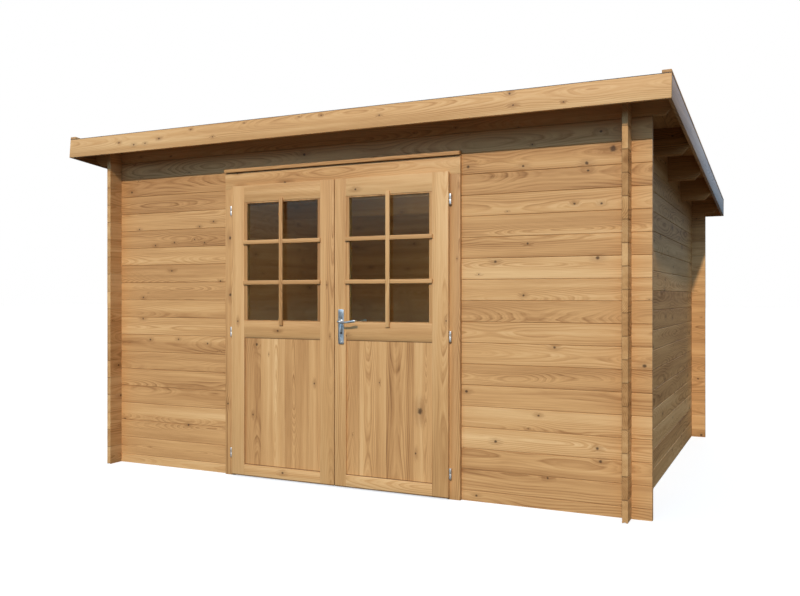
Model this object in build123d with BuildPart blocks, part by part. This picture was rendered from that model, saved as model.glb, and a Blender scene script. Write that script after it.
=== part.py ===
from build123d import *
from math import atan2, cos, sin, tan
import os

# Garden shed of interlocking logs with a pent roof that falls to the back and a glazed double door.
# Millimetres, +Z up, front towards -Y, origin on the ground under the middle of the roof.

# Log walls
wall_width = 3374.0
wall_depth = 2720.0
corner_overhang = 100.0
log_thick = 28.0
log_pitch = 114.0
log_gap = 0.4
log_chamfer = 3.0
ridge_height = 6.0
notch_play = 0.3
front_full_logs = 18
back_full_logs = 16
logs_over_door = 2

# Roof
side_overhang = 218.0
front_overhang = 209.0
back_overhang = 229.0
roof_board_thick = 16.0
felt_thick = 2.0
fascia_height = 120.0
fascia_thick = 18.0
batten_width = 45.0
batten_thick = 16.0
purlin_width = 45.0
purlin_height = 150.0
purlin_first = 667.0
purlin_spacing = 665.0
purlin_count = 3
eave_cut = 42.0
seat_gap = 0.2

# Floor
joist_width = 45.0
joist_height = 45.0
joist_count = 6
floor_board_thick = 18.0
floor_play = 0.3

# Door frame
frame_width = 1568.0
frame_top = 1871.0
frame_proud = 20.0
jamb_face = 75.0
jamb_cover = 39.0
head_height = 98.0
drip_cap_height = 26.0
drip_cap_reach = 36.0
drip_cap_fall = 6.0
drip_cap_gap = 3.0
frame_play = 0.3

# Door leaves
leaf_bottom = 8.0
leaf_proud = 20.0
leaf_thick = 40.0
lip_thick = 15.0
lip_cover = 13.0
leaf_play = 5.0
meeting_gap = 6.0
meeting_shift = 10.0
hinge_stile = 95.0
meeting_edge = 86.0
top_rail = 102.0
glass_foot = 958.0
lock_rail = 103.0
bottom_rail = 70.0
rail_splay_height = 18.0
rail_splay_depth = 8.0
panel_thick = 14.0
panel_recess = 10.0
panel_edge = 10.0
panel_play = 0.3
glass_thick = 4.0
glass_play = 0.4
bead_width = 20.0
bead_head = 9.0
bead_foot = 5.0
bead_thick = 15.0
bead_play = 0.2

# Drilled-in hinges
hinge_heights = (142.0, 888.0, 1636.0)
barrel_radius = 7.5
barrel_height = 60.0
barrel_stand = 10.0
barrel_gap = 0.5
knuckle_gap = 0.3
pin_radius = 3.5
pin_rise = 22.0
pin_play = 0.3
stud_radius = 3.0
stud_depth = 26.0
stud_play = 0.2
stud_sides = 6
barrel_sides = 16
pin_sides = 12

# Lever handle
plate_width = 37.0
plate_height = 200.0
plate_thick = 6.0
plate_drop = 130.0
plate_corner = 7.0
plate_center = 57.0
lever_height = 962.0
lever_radius = 8.0
lever_length = 118.0
lever_stand = 52.0
lever_bend = 16.0
grip_thick = 12.0
grip_height = 15.0
grip_wave = 5.0
grip_bow = 60.0
grip_low_share = 0.45
grip_high_share = 0.8
lever_play = 0.3
spindle_size = 8.0
spindle_way = 18.0
keyhole_drop = 68.0
keyhole_radius = 6.0
keyhole_width = 6.0
keyhole_length = 24.0

# One overrun serves all cuts
overrun = 10.0

# Levels and places that follow from the sizes above
half_log = log_pitch / 2
front_height = half_log + front_full_logs * log_pitch
back_height = half_log + back_full_logs * log_pitch
slope = atan2(front_height - back_height, wall_depth - log_thick)
roof_half = wall_width / 2 + side_overhang
roof_base = seat_gap + roof_board_thick
roof_back = wall_depth / cos(slope) + back_overhang
roof_top = roof_base + felt_thick + batten_thick
front_reach = front_overhang * cos(slope) - (roof_base - fascia_height) * sin(slope)
back_reach = roof_back * cos(slope) + roof_top * sin(slope)
front_face = (front_reach - back_reach) / 2
back_face = front_face + wall_depth
front_line = front_face + log_thick / 2
back_line = back_face - log_thick / 2
side_line = (wall_width - log_thick) / 2
log_end_x = wall_width / 2 + corner_overhang
log_end_y = wall_depth / 2 + corner_overhang
middle_y = (front_face + back_face) / 2
eave_end = roof_half - fascia_thick
roof_plane = Plane(
    origin=(0, front_face, front_height), x_dir=(1, 0, 0), z_dir=(0, sin(slope), cos(slope))
)
purlin_lines = [front_face + purlin_first + purlin_spacing * n for n in range(purlin_count)]

# Door places
frame_half = frame_width / 2
jamb_inner = frame_half - jamb_face
log_stop = frame_half - jamb_cover
head_foot = frame_top - head_height
doorway_top = front_height - logs_over_door * log_pitch
frame_front = front_face - frame_proud
frame_back = front_face + log_thick + frame_proud
leaf_front = frame_front - leaf_proud
leaf_back = leaf_front + leaf_thick
leaf_edge = jamb_inner + lip_cover
lip_width = lip_cover + leaf_play
leaf_top = head_foot + lip_cover
stile_inner = leaf_edge - hinge_stile
panel_front = leaf_front + panel_recess
panel_back = panel_front + panel_thick
glass_head = leaf_top - top_rail
panel_head = glass_foot - lock_rail
panel_foot = leaf_bottom + bottom_rail
glass_line = leaf_front + leaf_thick / 2
axis_x = leaf_edge + barrel_gap + barrel_radius
axis_y = frame_front - barrel_stand
half_barrel = barrel_height / 2
key_level = lever_height - keyhole_drop
floor_top = joist_height + floor_board_thick


def roof_level(y):
    """Height of the underside of the roof above the line at depth y."""
    return front_height - (y - front_face) * tan(slope)


def span_box(x0, x1, y0, y1, z0, z1, mode=Mode.ADD):
    """A block between two corners, added to or cut from the part being made."""
    with Locations(((x0 + x1) / 2, (y0 + y1) / 2, (z0 + z1) / 2)):
        return Box(abs(x1 - x0), abs(y1 - y0), abs(z1 - z0), mode=mode)


def save(piece, name):
    """Label a finished piece and write its file."""
    piece.part.label = name
    export_step(piece.part, f"parts/{name}.step")


os.makedirs("parts", exist_ok=True)

# Section of one log, outer face to the left: chamfered outer edges, a ridge on top, a valley below
half_thick = log_thick / 2
body_foot = log_gap / 2
body_head = log_pitch - log_gap / 2
with BuildSketch() as log_section:
    with BuildLine():
        Polyline(
            (-half_thick, body_foot + log_chamfer),
            (-half_thick + log_chamfer, body_foot),
            (0, body_foot + ridge_height),
            (half_thick, body_foot),
            (half_thick, body_head),
            (0, body_head + ridge_height),
            (-half_thick + log_chamfer, body_head),
            (-half_thick, body_head - log_chamfer),
            close=True,
        )
    make_face()

up = Vector(0, 0, 1)
rightward = Vector(1, 0, 0)
backward = Vector(0, 1, 0)


def lay_logs(feet, start, run, length):
    """Stack logs from start along run, which goes round the shed with the room on its left."""
    with BuildSketch(Plane(origin=start, x_dir=up.cross(run), z_dir=run)) as courses:
        with Locations(*[(0, foot) for foot in feet]):
            add(log_section.sketch)
    extrude(courses.sketch, amount=length)


def notch_logs(joints, x, line):
    """Halve the logs at a corner: one pocket round each joint between two courses."""
    with Locations(*[(x, line, joint) for joint in joints]):
        Box(
            log_thick + 2 * notch_play,
            log_thick + 2 * notch_play,
            half_log + notch_play,
            mode=Mode.SUBTRACT,
        )


def trim_to_roof():
    """Plane the top of a wall to the slope of the roof."""
    split(bisect_by=roof_plane, keep=Keep.BOTTOM)


def trim_eave_ends(foot, line):
    """Cut the lower corners of a log that carries the eaves."""
    for side in (-1, 1):
        with BuildSketch(Plane(origin=(0, line, 0), x_dir=(1, 0, 0), z_dir=(0, -1, 0))) as corner:
            with BuildLine():
                Polyline(
                    (side * (eave_end - eave_cut - overrun), foot - overrun),
                    (side * (eave_end + overrun), foot - overrun),
                    (side * (eave_end + overrun), foot + eave_cut + overrun),
                    close=True,
                )
            make_face()
        extrude(corner.sketch, amount=log_thick, both=True, mode=Mode.SUBTRACT)


# Front wall beside the door: a half log and full logs, cut off inside the door posts
beside_feet = [n * log_pitch - half_log for n in range(front_full_logs - logs_over_door + 1)]
beside_joints = [foot + log_pitch for foot in beside_feet]
with BuildPart() as front_wall_left:
    lay_logs(beside_feet, (-log_end_x, front_line, 0), rightward, log_end_x - log_stop)
    notch_logs(beside_joints, -side_line, front_line)
    split(bisect_by=Plane.XY, keep=Keep.TOP)
save(front_wall_left, "front_wall_left")

with BuildPart() as front_wall_right:
    lay_logs(beside_feet, (log_stop, front_line, 0), rightward, log_end_x - log_stop)
    notch_logs(beside_joints, side_line, front_line)
    split(bisect_by=Plane.XY, keep=Keep.TOP)
save(front_wall_right, "front_wall_right")

# Front wall over the door: the lintel log, and the top log that runs out to the eaves
top_log_foot = front_height - log_pitch
with BuildPart() as front_wall_over_door:
    lay_logs([doorway_top], (-log_end_x, front_line, 0), rightward, 2 * log_end_x)
    lay_logs([top_log_foot], (-eave_end, front_line, 0), rightward, 2 * eave_end)
    for side in (-1, 1):
        notch_logs([doorway_top, top_log_foot, front_height], side * side_line, front_line)
    trim_to_roof()
    trim_eave_ends(top_log_foot, front_line)
save(front_wall_over_door, "front_wall_over_door")

# Back wall: a half log, full logs, and a top log that runs out to the eaves
back_feet = [n * log_pitch - half_log for n in range(back_full_logs)]
back_top_foot = back_height - log_pitch
with BuildPart() as back_wall:
    lay_logs(back_feet, (log_end_x, back_line, 0), -rightward, 2 * log_end_x)
    lay_logs([back_top_foot], (eave_end, back_line, 0), -rightward, 2 * eave_end)
    for side in (-1, 1):
        notch_logs([foot + log_pitch for foot in back_feet + [back_top_foot]], side * side_line, back_line)
    split(bisect_by=Plane.XY, keep=Keep.TOP)
    trim_to_roof()
    trim_eave_ends(back_top_foot, back_line)
save(back_wall, "back_wall")


def side_wall(side):
    """Logs from front to back, notched at both corners, cut for the purlins and planed to the roof."""
    x = side * side_line
    joints = [n * log_pitch for n in range(front_full_logs + 1)]
    with BuildPart() as wall:
        lay_logs(joints, (x, middle_y - side * log_end_y, 0), side * backward, 2 * log_end_y)
        notch_logs(joints, x, front_line)
        notch_logs(joints, x, back_line)
        for line in purlin_lines:
            half_slot = purlin_width / 2 + notch_play
            foot = roof_level(line) - purlin_height - notch_play
            span_box(
                x - log_thick,
                x + log_thick,
                line - half_slot,
                line + half_slot,
                foot,
                front_height + overrun,
                Mode.SUBTRACT,
            )
        trim_to_roof()
    return wall


save(side_wall(-1), "left_wall")
save(side_wall(1), "right_wall")


def purlin(line):
    """A roof beam with cut eave ends, planed to the slope on top."""
    foot = roof_level(line) - purlin_height
    head = roof_level(line) + purlin_width
    with BuildPart() as beam:
        face = Plane(origin=(0, line - purlin_width / 2, 0), x_dir=(1, 0, 0), z_dir=(0, -1, 0))
        with BuildSketch(face):
            with BuildLine():
                Polyline(
                    (-eave_end, head),
                    (-eave_end, foot + eave_cut),
                    (eave_cut - eave_end, foot),
                    (eave_end - eave_cut, foot),
                    (eave_end, foot + eave_cut),
                    (eave_end, head),
                    close=True,
                )
            make_face()
        extrude(amount=-purlin_width)
        trim_to_roof()
    return beam


for purlin_name, purlin_line in zip(("front_purlin", "middle_purlin", "back_purlin"), purlin_lines):
    save(purlin(purlin_line), purlin_name)


def roof_slab(x0, x1, u0, u1, base, thick):
    """A board parallel to the roof, between distances u down the slope from the front wall."""
    with BuildPart() as slab:
        with BuildSketch(roof_plane.offset(base)):
            with Locations(((x0 + x1) / 2, (u0 + u1) / 2)):
                Rectangle(x1 - x0, u1 - u0)
        extrude(amount=thick)
    return slab


# Roof deck, felt, fascia boards and the battens that hold the felt's side edges
deck_front = fascia_thick - front_overhang
deck_back = roof_back - fascia_thick
fascia_foot = roof_base - fascia_height
felt_head = roof_base + felt_thick
save(roof_slab(-eave_end, eave_end, deck_front, deck_back, seat_gap, roof_board_thick), "roof_boards")
save(roof_slab(-roof_half, roof_half, -front_overhang, roof_back, roof_base, felt_thick), "roof_felt")
save(
    roof_slab(-roof_half, roof_half, -front_overhang, deck_front, fascia_foot, fascia_height),
    "front_fascia",
)
save(roof_slab(-roof_half, roof_half, deck_back, roof_back, fascia_foot, fascia_height), "back_fascia")
save(roof_slab(-roof_half, -eave_end, deck_front, deck_back, fascia_foot, fascia_height), "left_fascia")
save(roof_slab(eave_end, roof_half, deck_front, deck_back, fascia_foot, fascia_height), "right_fascia")
batten_inner = roof_half - batten_width
save(
    roof_slab(-roof_half, -batten_inner, -front_overhang, roof_back, felt_head, batten_thick),
    "left_batten",
)
save(
    roof_slab(batten_inner, roof_half, -front_overhang, roof_back, felt_head, batten_thick),
    "right_batten",
)

# Floor between the walls: joists from front to back and the boarded deck on them
room_half = wall_width / 2 - log_thick - floor_play
room_front = frame_back + floor_play
room_back = back_face - log_thick - floor_play
joist_pitch = (2 * room_half - joist_width) / (joist_count - 1)
with BuildPart() as floor_joists:
    with Locations((0, (room_front + room_back) / 2, joist_height / 2)):
        with GridLocations(joist_pitch, 0, joist_count, 1):
            Box(joist_width, room_back - room_front, joist_height)
save(floor_joists, "floor_joists")

with BuildPart() as floor_boards:
    span_box(-room_half, room_half, room_front, room_back, joist_height, floor_top)
save(floor_boards, "floor_boards")


def turned(radius, sides, foot, length, mode=Mode.ADD):
    """A round bar of flat sides on the vertical through foot, upwards or downwards."""
    with BuildSketch(Plane(origin=foot)) as round_section:
        RegularPolygon(radius, sides)
    extrude(round_section.sketch, amount=length, mode=mode)


def stud(root, run, length, radius, mode=Mode.ADD):
    """A screwed stud, or its hole, from root along run."""
    with BuildSketch(Plane(origin=root, x_dir=(0, 0, 1), z_dir=run)) as stud_section:
        RegularPolygon(radius, stud_sides)
    extrude(stud_section.sketch, amount=length, mode=mode)


def jamb(side):
    """Door post: a channel that takes the log ends, drilled for the hinge studs."""
    with BuildPart() as post:
        span_box(side * jamb_inner, side * frame_half, frame_front, frame_back, 0, head_foot)
        span_box(
            side * (log_stop - frame_play),
            side * (frame_half + overrun),
            front_face - frame_play,
            front_face + log_thick + frame_play,
            -overrun,
            head_foot + overrun,
            Mode.SUBTRACT,
        )
        for height in hinge_heights:
            mouth = (side * axis_x, frame_front, height - half_barrel / 2)
            stud(mouth, backward, stud_depth, stud_radius + stud_play, Mode.SUBTRACT)
    return post


save(jamb(-1), "left_jamb")
save(jamb(1), "right_jamb")

# Head of the frame: it lies on both posts and fills the wall up to the lintel log
with BuildPart() as door_head:
    span_box(-frame_half, frame_half, frame_front, frame_back, head_foot, frame_top)
    for side in (-1, 1):
        span_box(
            side * (log_stop - frame_play),
            side * (frame_half + overrun),
            front_face - frame_play,
            front_face + log_thick + frame_play,
            head_foot - overrun,
            frame_top + overrun,
            Mode.SUBTRACT,
        )
    span_box(
        frame_play - log_stop,
        log_stop - frame_play,
        front_face,
        front_face + log_thick,
        frame_top,
        doorway_top,
    )
save(door_head, "door_head")

# Drip cap over the head, with a top that falls to the front
drip_foot = frame_top + drip_cap_gap
with BuildPart() as drip_cap:
    with BuildSketch(Plane(origin=(-frame_half, front_face, 0), x_dir=(0, 1, 0), z_dir=(1, 0, 0))):
        with BuildLine():
            Polyline(
                (0, drip_foot),
                (-drip_cap_reach, drip_foot),
                (-drip_cap_reach, drip_foot + drip_cap_height - drip_cap_fall),
                (0, drip_foot + drip_cap_height),
                close=True,
            )
        make_face()
    extrude(amount=frame_width)
save(drip_cap, "drip_cap")

# Sill between the posts, behind the feet of the leaves and level with the floor
with BuildPart() as threshold:
    span_box(-jamb_inner, jamb_inner, leaf_back + leaf_play, frame_back, 0, floor_top)
save(threshold, "threshold")


def door_leaf(name, side, meet):
    """The pieces of one leaf. side is -1 or 1 for its hinges, meet the place of its meeting edge."""
    edge = side * leaf_edge
    inner_hinge = side * stile_inner
    inner_meet = side * meeting_edge
    has_lock = side == 1

    def cut_rebate():
        """Cut the back of the hinge edge and of the top so that a lip covers the frame."""
        for x0, x1, z0 in (
            (edge - side * lip_width, edge + side * overrun, -overrun),
            (meet - side * overrun, edge + side * overrun, leaf_top - lip_width),
        ):
            span_box(
                x0,
                x1,
                leaf_front + lip_thick,
                leaf_back + overrun,
                z0,
                leaf_top + overrun,
                Mode.SUBTRACT,
            )

    def cut_panel_groove():
        """Plough the groove that holds the boarded panel."""
        reach = panel_edge + panel_play
        span_box(
            inner_meet - side * reach,
            inner_hinge + side * reach,
            panel_front - panel_play,
            panel_back + panel_play,
            panel_foot - reach,
            panel_head + reach,
            Mode.SUBTRACT,
        )

    with BuildPart() as stiles:
        span_box(inner_hinge, edge, leaf_front, leaf_back, leaf_bottom, leaf_top)
        span_box(meet, inner_meet, leaf_front, leaf_back, leaf_bottom, leaf_top)
        cut_rebate()
        cut_panel_groove()
        for height in hinge_heights:
            mouth = (edge, axis_y, height + half_barrel / 2)
            stud(mouth, -side * rightward, stud_depth, stud_radius + stud_play, Mode.SUBTRACT)
        if has_lock:
            with Locations((plate_center, glass_line, lever_height)):
                Box(spindle_way, leaf_thick + overrun, spindle_way, mode=Mode.SUBTRACT)
            with Locations((plate_center, glass_line, key_level - keyhole_length / 2)):
                Box(keyhole_width, leaf_thick + overrun, keyhole_length, mode=Mode.SUBTRACT)
    save(stiles, f"{name}_stiles")

    with BuildPart() as rails:
        for z0, z1 in (
            (leaf_bottom, panel_foot),
            (panel_head, glass_foot),
            (glass_head, leaf_top),
        ):
            span_box(inner_meet, inner_hinge, leaf_front, leaf_back, z0, z1)
        cut_rebate()
        cut_panel_groove()
        with BuildSketch(Plane(origin=(inner_meet, 0, 0), x_dir=(0, 1, 0), z_dir=(1, 0, 0))):
            Polygon(
                (leaf_front - overrun, panel_head + rail_splay_height),
                (leaf_front, panel_head + rail_splay_height),
                (leaf_front + rail_splay_depth, panel_head),
                (leaf_front + rail_splay_depth, panel_head - overrun),
                (leaf_front - overrun, panel_head - overrun),
                align=None,
            )
        extrude(amount=inner_hinge - inner_meet, mode=Mode.SUBTRACT)
    save(rails, f"{name}_rails")

    with BuildPart() as panel:
        span_box(
            inner_meet - side * panel_edge,
            inner_hinge + side * panel_edge,
            panel_front,
            panel_back,
            panel_foot - panel_edge,
            panel_head + panel_edge,
        )
    save(panel, f"{name}_panel")

    with BuildPart() as glass:
        span_box(
            inner_meet + side * glass_play,
            inner_hinge - side * glass_play,
            glass_line - glass_thick / 2,
            glass_line + glass_thick / 2,
            glass_foot + glass_play,
            glass_head - glass_play,
        )
    save(glass, f"{name}_glass")

    with BuildPart() as beads:
        for face in (-1, 1):
            near = glass_line + face * (glass_thick / 2 + bead_play)
            far = near + face * bead_thick
            span_box(inner_meet, inner_hinge, near, far, glass_foot, glass_head)
        span_box(
            inner_meet + side * bead_width,
            inner_hinge - side * bead_width,
            leaf_front,
            leaf_back,
            glass_foot + bead_foot,
            glass_head - bead_head,
            Mode.SUBTRACT,
        )
    save(beads, f"{name}_glazing_beads")


meet_line = meeting_shift
door_leaf("left_leaf", -1, meet_line - meeting_gap / 2)
door_leaf("right_leaf", 1, meet_line + meeting_gap / 2)


def frame_hinges(side):
    """Lower knuckles with their pins, on studs screwed into the post."""
    with BuildPart() as hinges:
        for height in hinge_heights:
            foot = (side * axis_x, axis_y, height - half_barrel)
            root = (side * axis_x, axis_y, height - half_barrel / 2)
            turned(barrel_radius, barrel_sides, foot, half_barrel - knuckle_gap / 2)
            turned(pin_radius, pin_sides, foot, half_barrel + pin_rise)
            stud(root, backward, barrel_stand + stud_depth - stud_play, stud_radius)
    return hinges


def leaf_hinges(side):
    """Upper knuckles, bored for the pins, on studs screwed into the leaf's edge."""
    with BuildPart() as hinges:
        for height in hinge_heights:
            head = (side * axis_x, axis_y, height + half_barrel)
            root = (side * axis_x, axis_y, height + half_barrel / 2)
            bore = (side * axis_x, axis_y, height)
            turned(barrel_radius, barrel_sides, head, knuckle_gap / 2 - half_barrel)
            stud(root, -side * rightward, axis_x - leaf_edge + stud_depth - stud_play, stud_radius)
            turned(pin_radius + pin_play, pin_sides, bore, pin_rise + pin_play, Mode.SUBTRACT)
    return hinges


for hinge_side, hand in ((-1, "left"), (1, "right")):
    save(frame_hinges(hinge_side), f"{hand}_frame_hinges")
    save(leaf_hinges(hinge_side), f"{hand}_leaf_hinges")

# Handle plates on both faces of the right leaf, with a bore for the lever and a keyhole
plate_middle = lever_height - plate_drop + plate_height / 2
with BuildPart() as handle_plates:
    for face in (leaf_front, leaf_back + plate_thick):
        with BuildSketch(Plane(origin=(0, face, 0), x_dir=(1, 0, 0), z_dir=(0, -1, 0))):
            with Locations((plate_center, plate_middle)):
                RectangleRounded(plate_width, plate_height, plate_corner)
            with Locations((plate_center, lever_height)):
                Circle(lever_radius + lever_play, mode=Mode.SUBTRACT)
            with Locations((plate_center, key_level)):
                Circle(keyhole_radius, mode=Mode.SUBTRACT)
            with Locations((plate_center, key_level - keyhole_length / 2)):
                Rectangle(keyhole_width, keyhole_length, mode=Mode.SUBTRACT)
        extrude(amount=plate_thick)
save(handle_plates, "handle_plates")


def lever(face, out, name):
    """A bent bar lever on a round neck, with a waved grip towards the hinges."""
    end = face + out * lever_stand
    half = grip_thick / 2
    elbow_end = plate_center + lever_bend + half
    with BuildPart() as arm:
        with BuildSketch(Plane.XY.offset(lever_height - grip_height / 2)):
            with BuildLine() as elbow:
                FilletPolyline(
                    (plate_center, face + out * (plate_thick + half)),
                    (plate_center, end),
                    (elbow_end, end),
                    radius=lever_bend,
                )
            trace(elbow.line, line_width=grip_thick)
        extrude(amount=grip_height)
        with BuildSketch(Plane(origin=(0, end, 0), x_dir=(1, 0, 0), z_dir=(0, -1, 0))):
            with BuildLine() as grip:
                FilletPolyline(
                    (plate_center + lever_bend, lever_height),
                    (elbow_end, lever_height),
                    (plate_center + lever_length * grip_low_share, lever_height - grip_wave),
                    (plate_center + lever_length * grip_high_share, lever_height + grip_wave),
                    (plate_center + lever_length, lever_height + grip_wave),
                    radius=grip_bow,
                )
            trace(grip.line, line_width=grip_height)
        extrude(amount=half, both=True)
        with BuildSketch(Plane(origin=(plate_center, face, lever_height), z_dir=(0, out, 0))):
            Circle(lever_radius)
        extrude(amount=plate_thick + half)
    save(arm, name)


lever(leaf_front, -1, "outside_lever")
lever(leaf_back, 1, "inside_lever")

# Spindle that joins the two levers through the meeting stile
with BuildPart() as spindle:
    with Locations((plate_center, glass_line, lever_height)):
        Box(spindle_size, leaf_thick, spindle_size)
save(spindle, "spindle")
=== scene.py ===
"""Looks of a garden shed of interlocking logs: finishes, boards, door furniture, light and camera."""

import logging
import math
from dataclasses import dataclass
from enum import Enum
from typing import Callable, ClassVar, Iterable, Sequence, Union

import bpy
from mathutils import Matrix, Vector


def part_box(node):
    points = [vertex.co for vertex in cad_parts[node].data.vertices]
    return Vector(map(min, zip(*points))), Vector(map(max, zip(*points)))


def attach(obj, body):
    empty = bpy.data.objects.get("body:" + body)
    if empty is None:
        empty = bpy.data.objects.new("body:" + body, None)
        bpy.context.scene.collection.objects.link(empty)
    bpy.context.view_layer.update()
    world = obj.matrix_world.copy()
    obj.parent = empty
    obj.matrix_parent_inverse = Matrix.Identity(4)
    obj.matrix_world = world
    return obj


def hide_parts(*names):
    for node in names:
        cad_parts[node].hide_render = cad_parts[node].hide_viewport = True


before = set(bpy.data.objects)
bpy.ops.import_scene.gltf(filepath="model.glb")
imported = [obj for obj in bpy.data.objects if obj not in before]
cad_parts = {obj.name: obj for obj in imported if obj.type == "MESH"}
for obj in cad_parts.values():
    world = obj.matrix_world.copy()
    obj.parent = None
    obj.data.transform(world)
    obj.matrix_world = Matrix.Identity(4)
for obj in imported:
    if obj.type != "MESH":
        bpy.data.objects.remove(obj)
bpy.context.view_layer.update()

LOG = logging.getLogger("shed")
MM = 0.001
SHARP_ANGLE = math.radians(40)
SMOOTH_ANGLE = math.radians(35)
FLAT_ANGLE = math.radians(0.5)
MERGE_DISTANCE = 0.01 * MM
FACING = 0.9
STANDING = (0.0, 0.0, 0.0)
ALONG_X = (0.0, math.pi / 2, 0.0)
ALONG_Y = (math.pi / 2, 0.0, 0.0)

Colour = tuple[float, float, float]
Corner = Sequence[float]
Knots = tuple[tuple[float, float, float], ...]
Span = tuple[float, float]
Piece = bpy.types.Object


def from_screen(red: int, green: int, blue: int) -> Colour:
    """Linear colour of a screen colour given in steps of 0 to 255.

    Args:
        red: step of the red channel.
        green: step of the green channel.
        blue: step of the blue channel.

    Returns:
        The three channels by the usual screen curve, from 0 to 1.
    """
    def linear(step: int) -> float:
        """Linear share of one channel."""
        share = step / 255
        return share / 12.92 if share <= 0.04045 else ((share + 0.055) / 1.055) ** 2.4

    return linear(red), linear(green), linear(blue)


class Term:
    """A shader socket that takes part in sums and products written as Python expressions."""

    def __init__(self, graph: "Graph", socket: bpy.types.NodeSocket) -> None:
        """Keep the graph and the socket."""
        self.graph = graph
        self.socket = socket

    def __add__(self, other: "Number") -> "Term":
        """Sum."""
        return self.graph.maths("ADD", self, other)

    __radd__ = __add__

    def __sub__(self, other: "Number") -> "Term":
        """Difference."""
        return self.graph.maths("SUBTRACT", self, other)

    def __rsub__(self, other: "Number") -> "Term":
        """Difference from a number."""
        return self.graph.maths("SUBTRACT", other, self)

    def __mul__(self, other: "Number") -> "Term":
        """Product."""
        return self.graph.maths("MULTIPLY", self, other)

    __rmul__ = __mul__

    def __truediv__(self, other: "Number") -> "Term":
        """Quotient."""
        return self.graph.maths("DIVIDE", self, other)

    def __gt__(self, other: "Number") -> "Term":
        """One where this is greater, else zero."""
        return self.graph.maths("GREATER_THAN", self, other)

    def __abs__(self) -> "Term":
        """Size without sign."""
        return self.graph.maths("ABSOLUTE", self)

    def floor(self) -> "Term":
        """Whole part."""
        return self.graph.maths("FLOOR", self)

    def fraction(self) -> "Term":
        """Part after the point."""
        return self.graph.maths("FRACT", self)

    def root(self) -> "Term":
        """Square root."""
        return self.graph.maths("SQRT", self)

    def rise(self, low: "Number", high: "Number") -> "Term":
        """Smooth step.

        Args:
            low: value up to which it is zero.
            high: value from which it is one.

        Returns:
            A value from 0 to 1.
        """
        return self.graph.take(
            "ShaderNodeMapRange",
            "Result",
            {"interpolation_type": "SMOOTHSTEP"},
            {"Value": self, "From Min": low, "From Max": high},
        )


Number = Union[Term, float]


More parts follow.
